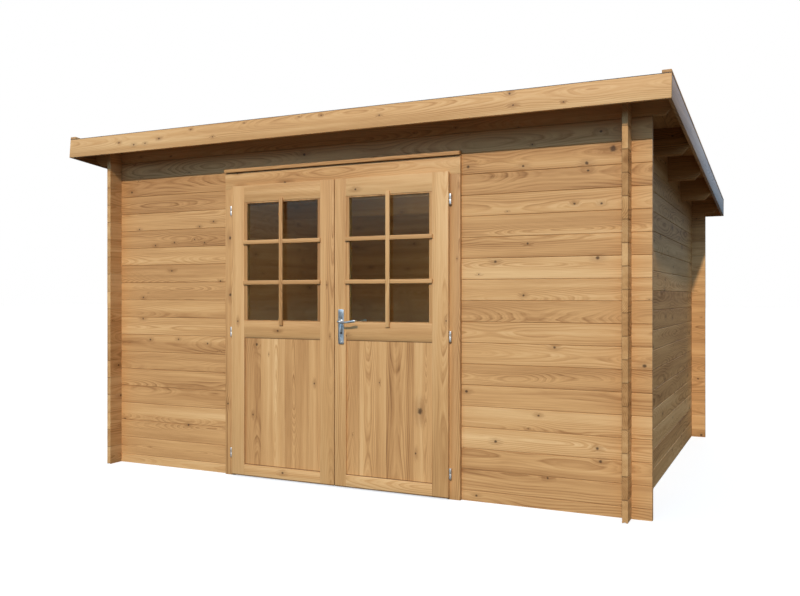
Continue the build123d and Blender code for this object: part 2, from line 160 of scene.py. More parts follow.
class Graph:
    """The node tree of one finish."""

    MIX_FACTOR, MIX_FIRST, MIX_SECOND, MIX_RESULT = 0, 6, 7, 2
    COARSE, EVEN, FINE, FINEST = 1.0, 2.0, 3.0, 4.0

    def __init__(self, tree: bpy.types.NodeTree) -> None:
        """Start with an empty tree."""
        self.tree = tree
        tree.nodes.clear()

    def node(self, kind: str, settings: dict, sockets: dict) -> bpy.types.Node:
        """Add a node.

        Args:
            kind: type of the node.
            settings: its properties, with a ramp's stops under "stops".
            sockets: values or terms by the name or number of the input.

        Returns:
            The new node.
        """
        made = self.tree.nodes.new(kind)
        for key, value in settings.items():
            if key == "stops":
                self._set_stops(made.color_ramp, value)
            else:
                setattr(made, key, value)
        for key, value in sockets.items():
            if isinstance(value, Term):
                self.tree.links.new(value.socket, made.inputs[key])
            else:
                made.inputs[key].default_value = value
        return made

    @staticmethod
    def _set_stops(ramp: bpy.types.ColorRamp, stops: Sequence[tuple[float, Colour]]) -> None:
        """Write the stops of a colour ramp.

        Args:
            ramp: ramp of a node.
            stops: position and colour of each stop, in rising order.
        """
        while len(ramp.elements) < len(stops):
            ramp.elements.new(1.0)
        for element, (position, colour) in zip(ramp.elements, stops):
            element.position = position
            element.color = (*colour, 1.0)

    def take(self, kind: str, output: Union[str, int], settings: dict, sockets: dict) -> Term:
        """Add a node and return one of its outputs as a term."""
        return Term(self, self.node(kind, settings, sockets).outputs[output])

    def maths(self, operation: str, *values: Number) -> Term:
        """Add a Math node."""
        return self.take("ShaderNodeMath", 0, {"operation": operation}, dict(enumerate(values)))

    def place(self) -> dict[str, Term]:
        """Find the place on the piece.

        Returns:
            The three object coordinates by axis letter.
        """
        point = self.take("ShaderNodeTexCoord", "Object", {}, {})
        split = self.node("ShaderNodeSeparateXYZ", {}, {0: point})
        return {axis: Term(self, split.outputs[axis.upper()]) for axis in "xyz"}

    def facing(self, axis: str) -> Term:
        """Find how far the surface faces along an axis.

        Args:
            axis: letter of the axis.

        Returns:
            A value from 0 to 1.
        """
        normal = self.take("ShaderNodeTexCoord", "Normal", {}, {})
        split = self.node("ShaderNodeSeparateXYZ", {}, {0: normal})
        return abs(Term(self, split.outputs[axis.upper()]))

    def vector(self, x: Number, y: Number, z: Number) -> Term:
        """Three values as one vector."""
        return self.take("ShaderNodeCombineXYZ", 0, {}, {0: x, 1: y, 2: z})

    def noise(self, x: Number, y: Number, z: Number, detail: float) -> Term:
        """Soft noise at a point.

        Args:
            x: first coordinate, in the noise's own scale.
            y: second coordinate.
            z: third coordinate.
            detail: number of finer layers.

        Returns:
            A value from 0 to 1.
        """
        return self.take(
            "ShaderNodeTexNoise",
            0,
            {"noise_dimensions": "3D"},
            {"Vector": self.vector(x, y, z), "Scale": 1.0, "Detail": detail},
        )

    def cells(self, point: Term, settings: dict, sockets: dict) -> tuple[bpy.types.Node, list[Term]]:
        """Part a surface into random cells.

        Args:
            point: place in the pattern's own scale.
            settings: settings of the node.
            sockets: further sockets of the node.

        Returns:
            The node, and three random values of the cell at the point.
        """
        made = self.node("ShaderNodeTexVoronoi", settings, {"Vector": point, "Scale": 1.0, **sockets})
        split = self.node("ShaderNodeSeparateColor", {}, {0: Term(self, made.outputs["Color"])})
        return made, [Term(self, socket) for socket in split.outputs]

    def chances(self, key: Number) -> list[Term]:
        """Draw three random values.

        Args:
            key: number that they belong to.

        Returns:
            The values, each from 0 to 1.
        """
        dice = self.take("ShaderNodeTexWhiteNoise", "Color", {"noise_dimensions": "1D"}, {"W": key})
        split = self.node("ShaderNodeSeparateColor", {}, {0: dice})
        return [Term(self, socket) for socket in split.outputs]

    def ramp(self, value: Term, stops: Sequence[tuple[float, Colour]]) -> Term:
        """Colour at a value between the stops."""
        return self.take("ShaderNodeValToRGB", "Color", {"stops": stops}, {"Fac": value})

    def mix(self, first: Union[Term, Colour], second: Union[Term, Colour], share: Number) -> Term:
        """Mix two colours.

        Args:
            first: colour at a share of 0.
            second: colour at a share of 1.
            share: part of the second one.

        Returns:
            The colour between them.
        """
        def full(colour: Union[Term, Colour]) -> Union[Term, tuple]:
            """A colour with its fourth value."""
            return colour if isinstance(colour, Term) else (*colour, 1.0)

        return self.take(
            "ShaderNodeMix",
            self.MIX_RESULT,
            {"data_type": "RGBA", "clamp_factor": True},
            {self.MIX_FACTOR: share, self.MIX_FIRST: full(first), self.MIX_SECOND: full(second)},
        )

    def bump(self, height: Term, strength: float, distance: float) -> Term:
        """Normal of a surface with small relief."""
        sockets = {"Height": height, "Strength": strength, "Distance": distance}
        return self.take("ShaderNodeBump", 0, {}, sockets)

    def close(self, shader: bpy.types.Node, kind: str = "ShaderNodeOutputMaterial") -> None:
        """Lead a shader to the output of the tree."""
        self.node(kind, {}, {"Surface": Term(self, shader.outputs[0])})

    def surface(self, sockets: dict) -> None:
        """Close the tree with one surface shader that has these sockets."""
        self.close(self.node("ShaderNodeBsdfPrincipled", {}, sockets))


def dressed(piece: Piece, name: str) -> Graph:
    """Give a piece one fresh material.

    Args:
        piece: the object to dress.
        name: name of the material.

    Returns:
        The empty node graph of that material.
    """
    material = bpy.data.materials.new(name)
    material.use_nodes = True
    piece.data.materials.clear()
    piece.data.materials.append(material)
    for face in piece.data.polygons:
        face.material_index = 0
    return Graph(material.node_tree)


class Lay(Enum):
    """Which axes run along the grain, across the face and into the wood."""

    LEVEL = "xzy"
    RUNNING_BACK = "yzx"
    UPRIGHT = "zxy"
    DECK = "yxz"
    FLOOR = "xyz"


@dataclass(frozen=True)
class Figure:
    """A noise that is drawn out along the grain.

    Its scales along and across the grain are per metre. The jump moves each board to a part of its own.
    """

    along: float
    across: float
    detail: float
    jump: float = 0.0

    def at(self, graph: Graph, spot: Sequence[Term], chance: Number = 0.0) -> Term:
        """Value at a spot in the wood.

        Args:
            graph: node graph.
            spot: place along the grain, across the board and into it.
            chance: random value of the board.

        Returns:
            A value from 0 to 1.
        """
        run, local, depth = spot
        beside = local * self.across + chance * self.jump
        return graph.noise(run * self.along, beside, depth * self.across, self.detail)


@dataclass(frozen=True)
class WoodFinish:
    """Oiled softwood with growth rings round a wandering heart, streaks, fibres and small dark knots."""

    BEND: ClassVar[Figure] = Figure(1.4, 9, 2.0, 11)
    STREAK: ClassVar[Figure] = Figure(0.8, 34, 4.0, 30)
    BROAD: ClassVar[Figure] = Figure(0.7, 9, 1.0, 30)
    FIBRE: ClassVar[Figure] = Figure(9, 320, 2.0)
    RIPPLE: ClassVar[Figure] = Figure(2.2, 20, 3.0)
    PATCH: ClassVar[Figure] = Figure(1.1, 14, 2.0, 8)
    RAGGED: ClassVar[float] = 70.0
    BOARD_STEP: ClassVar[float] = 7.31
    RUN_JUMP: ClassVar[float] = 40.0
    CELL_JUMP: ClassVar[float] = 60.0
    RAGGED_JUMP: ClassVar[float] = 9.0
    HEART_JUMP: ClassVar[float] = 20.0
    LATE_JUMP: ClassVar[float] = 13.0
    FINE_JUMP: ClassVar[float] = 9.0

    name: str
    lay: Lay
    seed: float
    course: float = 0.0
    course_start: float = 0.0
    joint_dark: float = 0.0
    joint_width: float = 2.0 * MM
    tone: float = 0.0
    tone_spread: float = 0.12
    base: float = 0.335
    knot_share: float = 0.55
    knot_size: float = 9 * MM
    knot_least: float = 0.35
    knot_spread: float = 1.2
    knot_stray: float = 0.9
    knot_pitch: float = 0.34
    knot_row: float = 0.11
    knot_squash: float = 1.3
    knot_rough: float = 0.8
    knot_core: Span = (0.35, 1.1)
    knot_halo: Span = (0.6, 3.6)
    mark_halo: Span = (0.6, 3.2)
    knot_draw: float = 0.22
    mark_draw: float = 0.3
    marks: Knots = ()
    ring: float = 7 * MM
    ring_dark: float = 0.37
    ring_least: float = 0.6
    ring_spread: float = 0.9
    heart_pace: float = 0.5
    heart_wander: float = 0.09
    heart_spread: float = 0.11
    dive_pace: float = 0.75
    dive_level: float = 5.0
    dive_reach: float = 0.20
    heart_depth: float = 0.025
    heart_depth_spread: float = 0.07
    ripple_reach: float = 0.012
    knot_ring_bend: float = 0.006
    late_span: Span = (0.30, 0.87)
    late_gain: float = 0.8
    fine_width: float = 0.37
    fine_span: Span = (0.3, 0.85)
    fine_gain: float = 0.35
    patch_span: Span = (0.36, 0.62)
    patch_least: float = 0.25
    bend_reach: float = 0.03
    knot_bend: float = 0.012
    streak_gain: float = 0.74
    broad_gain: float = 0.55
    fibre_gain: float = 0.30
    honey_at: float = 0.36
    brown_at: float = 0.72
    halo_dark: float = 0.9
    core_dark: float = 0.85
    end_span: Span = (0.6, 0.95)
    end_least: float = 0.04
    end_spread: float = 0.36
    end_joint: float = 1.5
    worn_pace: float = 2.5
    worn_step: float = 3.3
    worn_span: Span = (0.25, 0.7)
    worn_least: float = 0.3
    # Painted shade line round a panel's edges: its width, where it is full and how dark.
    edge_shade_width: float = 0.0
    edge_shade_core: float = 0.4
    edge_shade_dark: float = 0.8
    groove: float = 10 * MM
    # Painted shadow along the foot of a piece: its height, where it is full and how dark.
    foot_shadow: float = 0.0
    foot_shadow_core: float = 0.5
    foot_shadow_dark: float = 0.9
    shine: float = 0.22
    gloss: float = 0.46
    fibre_rough: float = 0.14
    ring_rough: float = 0.08
    relief: float = 0.22
    relief_depth: float = 0.6 * MM
    fibre_relief: float = 0.5
    ring_relief: float = 0.35
    core_relief: float = 0.6
    pale: Colour = from_screen(227, 183, 128)
    honey: Colour = from_screen(206, 155, 99)
    brown: Colour = from_screen(176, 125, 75)
    deep: Colour = from_screen(132, 89, 50)
    knot_colour: Colour = from_screen(72, 48, 28)
    halo_colour: Colour = from_screen(150, 102, 58)
    joint_colour: Colour = from_screen(96, 66, 38)

    def apply(self, piece: Piece) -> None:
        """Dress a piece.

        Args:
            piece: the object, whose place is in its mesh.
        """
        low, high = mesh_box(piece)
        middle = dict(zip("xyz", (low + high) / 2))
        graph = dressed(piece, f"{self.name}_{piece.name}")
        place = graph.place()
        along_axis, across_axis, depth_axis = self.lay.value
        index, local = self._boards(place[across_axis], middle[across_axis])
        chances = graph.chances(index * self.BOARD_STEP + self.seed)
        first, second, third = chances
        run = place[along_axis] + first * self.RUN_JUMP
        spot = (run, local, place[depth_axis] - middle[depth_axis])

        core, halo = self._knots(graph, spot, second, (place[along_axis], place[across_axis]))
        rings = self._rings(graph, spot, chances, halo)
        bend = self.BEND.at(graph, spot, first) * self.bend_reach + halo * self.knot_bend
        bent = (run, local + bend, spot[2])
        streak = self.STREAK.at(graph, bent, second)
        broad = self.BROAD.at(graph, spot, third)
        fibre = self.FIBRE.at(graph, bent)

        shade = rings * self.ring_dark + (streak - 0.5) * self.streak_gain
        shade = shade + (broad - 0.5) * self.broad_gain
        shade = shade + (fibre - 0.5) * self.fibre_gain + (third - 0.5) * (2 * self.tone_spread)
        stops = (
            (0.0, self.pale),
            (self.honey_at, self.honey),
            (self.brown_at, self.brown),
            (1.0, self.deep),
        )
        colour = graph.ramp(shade + (self.base + self.tone), stops)
        colour = graph.mix(colour, self.halo_colour, halo * (streak * self.halo_dark))
        colour = graph.mix(colour, self.knot_colour, core * self.core_dark)
        ends = graph.facing(along_axis).rise(*self.end_span)
        colour = graph.mix(colour, self.deep, ends * (second * self.end_spread + self.end_least))
        if self.joint_dark:
            joint = self._joints(graph, run, index, local, ends)
            colour = graph.mix(colour, self.joint_colour, joint)
        # Painted shade: a dark line along the panel's top, right and bottom edges.
        if self.edge_shade_width:
            line = self._edge_shade(graph, place, low, high)
            colour = graph.mix(colour, self.joint_colour, line * self.edge_shade_dark)
        # Painted shadow: a dark band along the foot stands in for the shade in the gap under a door leaf.
        if self.foot_shadow:
            foot_shade = 1 - place["z"].rise(low.z + self.foot_shadow_core * self.foot_shadow, low.z + self.foot_shadow)
            colour = graph.mix(colour, self.joint_colour, foot_shade * self.foot_shadow_dark)

        relief = fibre * self.fibre_relief + rings * self.ring_relief - core * self.core_relief
        graph.surface(
            {
                "Base Color": colour,
                "Roughness": fibre * self.fibre_rough + rings * self.ring_rough + self.gloss,
                "Normal": graph.bump(relief, self.relief, self.relief_depth),
                "Specular IOR Level": self.shine,
            }
        )

    def _boards(self, across: Term, middle: float) -> tuple[Number, Term]:
        """Part the face into boards or logs.

        Args:
            across: place across the face.
            middle: the same of the piece's middle.

        Returns:
            Number of the board, and the place across it from its middle.
        """
        if not self.course:
            return 0.0, across - middle
        count = (across - self.course_start) / self.course
        index = count.floor()
        return index, (count - index - 0.5) * self.course

    def _joints(self, graph: Graph, run: Term, index: Number, local: Term, ends: Term) -> Term:
        """Dark lines between the boards, wider and darker on their ends.

        Args:
            graph: node graph.
            run: place along the grain.
            index: number of the board.
            local: place across the board.
            ends: how far the surface is an end.

        Returns:
            Darkness of the line.
        """
        width = (ends * self.end_joint + 1) * (self.joint_width / self.course)
        edge = abs(local / self.course).rise(0.5 - width, 0.5)
        wear = graph.noise(run * self.worn_pace, index * self.worn_step, 0.0, graph.EVEN)
        worn = wear.rise(*self.worn_span) * (1 - self.worn_least) + self.worn_least
        return edge * worn * (ends + 1) * self.joint_dark

    def _edge_shade(self, graph: Graph, place: dict[str, Term], low: Vector, high: Vector) -> Term:
        """Painted shade line along the top, right and bottom edges of a panel, where it goes into the
        grooves of its frame.

        Args:
            graph: node graph.
            place: object coordinates by axis letter.
            low: lowest corner of the panel.
            high: highest corner of the panel.

        Returns:
            Darkness of the line from 0 to 1.
        """
        along_axis, across_axis, _ = self.lay.value
        near = high[axis_index(across_axis)] - self.groove - place[across_axis]
        head = high[axis_index(along_axis)] - self.groove - place[along_axis]
        foot = place[along_axis] - low[axis_index(along_axis)] - self.groove
        close = graph.maths("MINIMUM", graph.maths("MINIMUM", near, head), foot)
        return 1 - close.rise(self.edge_shade_core * self.edge_shade_width, self.edge_shade_width)

    def _knots(
        self, graph: Graph, spot: Sequence[Term], chance: Term, place: tuple[Term, Term]
    ) -> tuple[Term, Term]:
        """Scatter knots over the face and add the marked ones.

        Args:
            graph: node graph.
            spot: place along the grain, moved by chance, across the board and into it.
            chance: random value of the board.
            place: true place along the grain and across the face.

        Returns:
            Dark core and the soft halo round it, both from 0 to 1.
        """
        run, local, _ = spot
        row = self.course or self.knot_row
        u = run / self.knot_pitch
        v = local / row + chance * self.CELL_JUMP
        settings = {"voronoi_dimensions": "2D", "feature": "F1"}
        point = graph.vector(u, v, 0.0)
        cells, (here, large, _) = graph.cells(point, settings, {"Randomness": self.knot_stray})
        centre = graph.node("ShaderNodeSeparateXYZ", {}, {0: Term(graph, cells.outputs["Position"])})
        moved = chance * self.RAGGED_JUMP
        ragged = graph.noise(run * self.RAGGED, local * self.RAGGED, moved, graph.EVEN) - 0.5
        reach = (
            (u - Term(graph, centre.outputs["X"])) * self.knot_pitch,
            (v - Term(graph, centre.outputs["Y"])) * row,
        )
        size = (large * large * self.knot_spread + self.knot_least) * self.knot_size
        uneven = ragged * (self.knot_rough * self.knot_size)
        core, halo = self._knot(reach, size, uneven, self.knot_draw, self.knot_halo)
        there = here > 1 - self.knot_share
        core, halo = core * there, halo * there
        for along, across, radius in self.marks:
            reach = (place[0] - along, place[1] - across)
            uneven = ragged * (self.knot_rough * radius)
            dark, soft = self._knot(reach, radius, uneven, self.mark_draw, self.mark_halo)
            core = graph.maths("MAXIMUM", core, dark)
            halo = graph.maths("MAXIMUM", halo, soft)
        return core, halo

    def _knot(
        self, reach: tuple[Term, Term], size: Number, uneven: Term, draw: float, halo: Span
    ) -> tuple[Term, Term]:
        """One knot.

        Args:
            reach: distance from its middle along and across the grain.
            size: its radius.
            uneven: raggedness of its rim.
            draw: share of the length that counts for the halo, which is drawn out along the grain.
            halo: where the halo is full and where it ends, in radii.

        Returns:
            Its core and its halo, both from 0 to 1.
        """
        aside = reach[0] * reach[0]
        beside = reach[1] * reach[1] * self.knot_squash
        far = (aside + beside).root() + uneven
        wide = (aside * draw + beside).root() + uneven
        inner, outer = self.knot_core
        return 1 - far.rise(size * inner, size * outer), 1 - wide.rise(size * halo[0], size * halo[1])

    def _rings(self, graph: Graph, spot: Sequence[Term], chances: Sequence[Term], halo: Term) -> Term:
        """Late wood of the growth rings round a heart that wanders along the board.

        Args:
            graph: node graph.
            spot: place along the grain, across the board and into it.
            chances: three random values of the board.
            halo: closeness to a knot, which bends the rings.

        Returns:
            Darkness of the late wood from 0 to 1.
        """
        run, local, depth = spot
        first, second, third = chances
        wander = graph.noise(run * self.heart_pace, first * self.HEART_JUMP, 0.0, graph.COARSE) - 0.5
        deep = second * self.HEART_JUMP
        dive = graph.noise(run * self.dive_pace, deep, self.dive_level, graph.EVEN) - 0.5
        ripple = self.RIPPLE.at(graph, spot) - 0.5
        patch = self.PATCH.at(graph, spot, third).rise(*self.patch_span)
        aside = local + (second - 0.5) * self.heart_spread + wander * self.heart_wander
        below = depth + third * self.heart_depth_spread + dive * self.dive_reach + self.heart_depth
        radius = (aside * aside + below * below).root()
        radius = radius + ripple * self.ripple_reach + halo * self.knot_ring_bend
        width = (first * self.ring_spread + self.ring_least) * self.ring
        late = self._band((radius / width + first * self.LATE_JUMP).fraction(), self.late_span)
        thin = (radius / (width * self.fine_width) + second * self.FINE_JUMP).fraction()
        fine = self._band(thin, self.fine_span)
        strength = patch * (1 - self.patch_least) + self.patch_least
        return (late * self.late_gain + fine * self.fine_gain) * strength

    @staticmethod
    def _band(phase: Term, span: Span) -> Term:
        """Darkness within one ring, which grows over a span and ends soon after it."""
        return phase.rise(*span) * (1 - phase.rise(span[1], 1.0))


@dataclass(frozen=True)
class MetalFinish:
    """Plated or satin metal with faint draw marks and worn patches."""

    name: str
    bright: Colour
    dull: Colour
    roughness: float
    patch_scale: float = 60.0
    patch_span: Span = (0.35, 0.7)
    patch_rough: float = 0.16
    draw_scale: float = 900.0
    draw_run: float = 30.0
    draw_rough: float = 0.08
    relief: float = 0.08
    relief_depth: float = 0.2 * MM

    def apply(self, piece: Piece) -> None:
        """Dress a piece.

        Args:
            piece: the object, whose place is in its mesh.
        """
        graph = dressed(piece, f"{self.name}_{piece.name}")
        x, y, z = graph.place().values()
        scale = self.patch_scale
        patch = graph.noise(x * scale, y * scale, z * scale, graph.FINE)
        draw = graph.noise(x * self.draw_scale, y * self.draw_scale, z * self.draw_run, graph.EVEN)
        graph.surface(
            {
                "Base Color": graph.mix(self.bright, self.dull, patch.rise(*self.patch_span)),
                "Metallic": 1.0,
                "Roughness": patch * self.patch_rough + draw * self.draw_rough + self.roughness,
                "Normal": graph.bump(draw, self.relief, self.relief_depth),
            }
        )


@dataclass(frozen=True)
class FeltFinish:
    """Mineral roofing felt: fine granules on dark bitumen."""

    name: str = "felt"
    grain: float = 2.2 * MM
    grain_gain: float = 0.7
    cloud_scale: float = 2.2
    cloud_gain: float = 0.5
    base: float = -0.1
    mid_at: float = 0.55
    roughness: float = 0.78
    cloud_rough: float = 0.15
    relief: float = 0.5
    relief_depth: float = 0.8 * MM
    shine: float = 0.25
    dark: Colour = from_screen(46, 47, 50)
    mid: Colour = from_screen(78, 80, 83)
    light: Colour = from_screen(118, 120, 122)

    def apply(self, piece: Piece) -> None:
        """Dress a piece.

        Args:
            piece: the object, whose place is in its mesh.
        """
        graph = dressed(piece, f"{self.name}_{piece.name}")
        x, y, z = graph.place().values()
        scale = 1 / self.grain
        point = graph.vector(x * scale, y * scale, z * scale)
        cells, (granule, _, _) = graph.cells(point, {"feature": "F1"}, {})
        scale = self.cloud_scale
        cloud = graph.noise(x * scale, y * scale, z * scale, graph.FINE)
        shade = granule * self.grain_gain + cloud * self.cloud_gain + self.base
        stops = ((0.0, self.dark), (self.mid_at, self.mid), (1.0, self.light))
        height = Term(graph, cells.outputs["Distance"])
        graph.surface(
            {
                "Base Color": graph.ramp(shade, stops),
                "Roughness": cloud * self.cloud_rough + self.roughness,
                "Normal": graph.bump(height, self.relief, self.relief_depth),
                "Specular IOR Level": self.shine,
            }
        )


@dataclass(frozen=True)
class GlassFinish:
    """Clear window glass with a little dust towards its foot."""

    name: str = "window_glass"
    tint: Colour = from_screen(218, 229, 215)
    dust: Colour = from_screen(168, 150, 124)
    reflection: Colour = (1.0, 1.0, 0.72)
    dust_share: float = 0.35
    smear_across: float = 9.0
    smear_up: float = 5.0
    smear_span: Span = (0.45, 0.8)
    smear_gain: float = 0.5
    foot_share: float = 0.35
    foot_gain: float = 0.3
    roughness: float = 0.05
    haze_rough: float = 0.10
    bending: float = 1.45
    shine: float = 0.1

    def apply(self, piece: Piece) -> None:
        """Dress a pane.

        Args:
            piece: the pane, whose place is in its mesh.
        """
        low, high = mesh_box(piece)
        graph = dressed(piece, f"{self.name}_{piece.name}")
        x, y, z = graph.place().values()
        across = self.smear_across
        smear = graph.noise(x * across, y * across, z * self.smear_up, graph.FINEST)
        foot = 1 - z.rise(low.z, low.z + self.foot_share * (high.z - low.z))
        haze = (smear.rise(*self.smear_span) * self.smear_gain + foot * self.foot_gain).rise(0.0, 1.0)
        graph.surface(
            {
                "Base Color": graph.mix(self.tint, self.dust, haze * self.dust_share),
                "Roughness": haze * self.haze_rough + self.roughness,
                "Transmission Weight": 1.0,
                "IOR": self.bending,
                "Specular IOR Level": self.shine,
                "Specular Tint": (*self.reflection, 1.0),
            }
        )


Finish = Union[WoodFinish, MetalFinish, FeltFinish, GlassFinish]

ZINC = MetalFinish("zinc", from_screen(240, 234, 226), from_screen(214, 208, 200), roughness=0.34)
STEEL = MetalFinish("handle_steel", from_screen(220, 214, 206), from_screen(186, 180, 173), roughness=0.27)
# Dark iron of the keyhole plugs: painted shade inside the keyholes, on a piece that stands for the lock
# behind them.
KEYHOLE_SHADE = MetalFinish("keyhole_shade_iron", from_screen(70, 54, 40), from_screen(46, 36, 28), roughness=0.55)


def axis_index(axis: str) -> int:
    """Number of an axis letter."""
    return "xyz".index(axis)


def mesh_box(piece: Piece) -> tuple[Vector, Vector]:
    """Measure a piece's own mesh.

    Args:
        piece: the object.

    Returns:
        Its lowest and highest corner.
    """
    points = [vertex.co for vertex in piece.data.vertices]
    low = Vector(min(point[axis] for point in points) for axis in range(3))
    high = Vector(max(point[axis] for point in points) for axis in range(3))
    return low, high


def pick(*pieces: Piece) -> None:
    """Select these pieces alone.

    Args:
        pieces: the objects, the first of which becomes active.
    """
    bpy.ops.object.select_all(action="DESELECT")
    for piece in pieces:
        piece.select_set(True)
    bpy.context.view_layer.objects.active = pieces[0]


def settle(piece: Piece, name: str) -> Piece:
    """Name a new piece and put its place, turn and size into its mesh.

    Args:
        piece: the new object.
        name: its name.

    Returns:
        The same piece.
    """
    piece.name = name
    piece.data.name = name
    pick(piece)
    bpy.ops.object.transform_apply(location=True, rotation=True, scale=True)
    return piece


def block(name: str, centre: Corner, size: Corner, pitch: float = 0.0) -> Piece:
    """Start a piece from a cube.

    Args:
        name: name of the piece.
        centre: its middle.
        size: its three lengths.
        pitch: turn about the X axis.

    Returns:
        The new piece.
    """
    bpy.ops.object.select_all(action="DESELECT")
    bpy.ops.mesh.primitive_cube_add(size=1.0, location=centre, rotation=(pitch, 0.0, 0.0), scale=size)
    return settle(bpy.context.object, name)


def block_between(name: str, low: Corner, high: Corner) -> Piece:
    """Start a piece from a cube between two corners."""
    low, high = Vector(low), Vector(high)
    return block(name, (low + high) / 2, high - low)


def rod(name: str, centre: Corner, radius: float, length: float, turn: Corner, sides: int) -> Piece:
    """Start a piece from a cylinder.

    Args:
        name: name of the piece.
        centre: its middle.
        radius: its radius.
        length: its length.
        turn: its turn from upright.
        sides: number of its sides.

    Returns:
        The new piece.
    """
    bpy.ops.object.select_all(action="DESELECT")
    bpy.ops.mesh.primitive_cylinder_add(
        vertices=sides, radius=radius, depth=length, location=centre, rotation=turn
    )
    return settle(bpy.context.object, name)


def select_faces(piece: Piece, wanted: Callable[[bpy.types.MeshPolygon], bool]) -> None:
    """Go into edit mode with some faces selected.

    Args:
        piece: the object.
        wanted: test that a face passes to be selected.
    """
    pick(piece)
    bpy.ops.object.mode_set(mode="EDIT")
    bpy.ops.mesh.select_mode(type="FACE")
    bpy.ops.mesh.select_all(action="DESELECT")
    bpy.ops.object.mode_set(mode="OBJECT")
    for face in piece.data.polygons:
        face.select = wanted(face)
    bpy.ops.object.mode_set(mode="EDIT")


def leave_edit() -> None:
    """Go back to object mode."""
    bpy.ops.object.mode_set(mode="OBJECT")


def modified(piece: Piece, kind: str, settings: dict) -> Piece:
    """Add a modifier and apply it.

    Args:
        piece: the object.
        kind: type of the modifier.
        settings: its properties.

    Returns:
        The same piece.
    """
    pick(piece)
    bpy.ops.object.modifier_add(type=kind)
    modifier = piece.modifiers[-1]
    for key, value in settings.items():
        setattr(modifier, key, value)
    bpy.ops.object.modifier_apply(modifier=modifier.name)
    return piece


def eased(piece: Piece, width: float, segments: int = 2) -> Piece:
    """Round the sharp edges of a piece.

    Args:
        piece: the object.
        width: width of the rounding.
        segments: number of its facets.

    Returns:
        The same piece.
    """
    settings = {
        "width": width,
        "segments": segments,
        "limit_method": "ANGLE",
        "angle_limit": SHARP_ANGLE,
    }
    modified(piece, "BEVEL", settings)
    pick(piece)
    bpy.ops.object.shade_smooth_by_angle(angle=SMOOTH_ANGLE)
    return piece


def rowed(piece: Piece, count: int, step: Corner) -> Piece:
    """Repeat a shape in a straight row within its piece.

    Args:
        piece: the object with the first shape.
        count: number of shapes.
        step: way from one to the next.

    Returns:
        The same piece.
    """
    settings = {
        "count": count,
        "use_relative_offset": False,
        "use_constant_offset": True,
        "constant_offset_displace": step,
    }
    return modified(piece, "ARRAY", settings)


def repeated(piece: Piece, moves: Iterable[Corner]) -> list[Piece]:
    """Copy a finished shape, each copy with its own mesh.

    Args:
        piece: the shape.
        moves: way from it to each copy.

    Returns:
        The shape and its copies.
    """
    pieces = [piece]
    for move in moves:
        pick(piece)
        bpy.ops.object.duplicate(linked=False)
        copy = bpy.context.object
        copy.location = move
        pieces.append(settle(copy, piece.name))
    return pieces


def joined(name: str, pieces: Sequence[Piece]) -> Piece:
    """Join pieces.

    Args:
        name: name of the whole.
        pieces: the objects.

    Returns:
        The whole.
    """
    pick(*pieces)
    if len(pieces) > 1:
        bpy.ops.object.join()
    whole = bpy.context.view_layer.objects.active
    whole.name = name
    whole.data.name = name
    return whole


def copied(node: str, name: str) -> Piece:
    """Copy a CAD node into a piece with whole faces.

    Args:
        node: name of the node.
        name: name of the copy.

    Returns:
        The merged copy, with its own mesh.
    """
    copy = bpy.data.objects.new(name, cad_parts[node].data.copy())
    bpy.context.scene.collection.objects.link(copy)
    pick(copy)
    bpy.ops.mesh.customdata_custom_splitnormals_clear()
    bpy.ops.object.mode_set(mode="EDIT")
    bpy.ops.mesh.select_all(action="SELECT")
    bpy.ops.mesh.remove_doubles(threshold=MERGE_DISTANCE)
    bpy.ops.mesh.dissolve_limited(angle_limit=FLAT_ANGLE)
    leave_edit()
    return copy


def mount(piece: Piece, body: str, replaces: Iterable[str] = ()) -> Piece:
    """Make a piece ride on a body and the nodes that it stands for.

    Args:
        piece: the finished piece.
        body: CAD body that carries it.
        replaces: CAD nodes that it stands for.

    Returns:
        The same piece.
    """
    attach(piece, body)
    nodes = list(replaces)
    if nodes:
        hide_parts(*nodes)
    LOG.info("piece %s on %s", piece.name, body)
    return piece


def dress_node(node: str, finish: Finish) -> None:
    """Dress a CAD node that stays."""
    finish.apply(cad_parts[node])
    LOG.info("node %s in %s", node, finish.name)


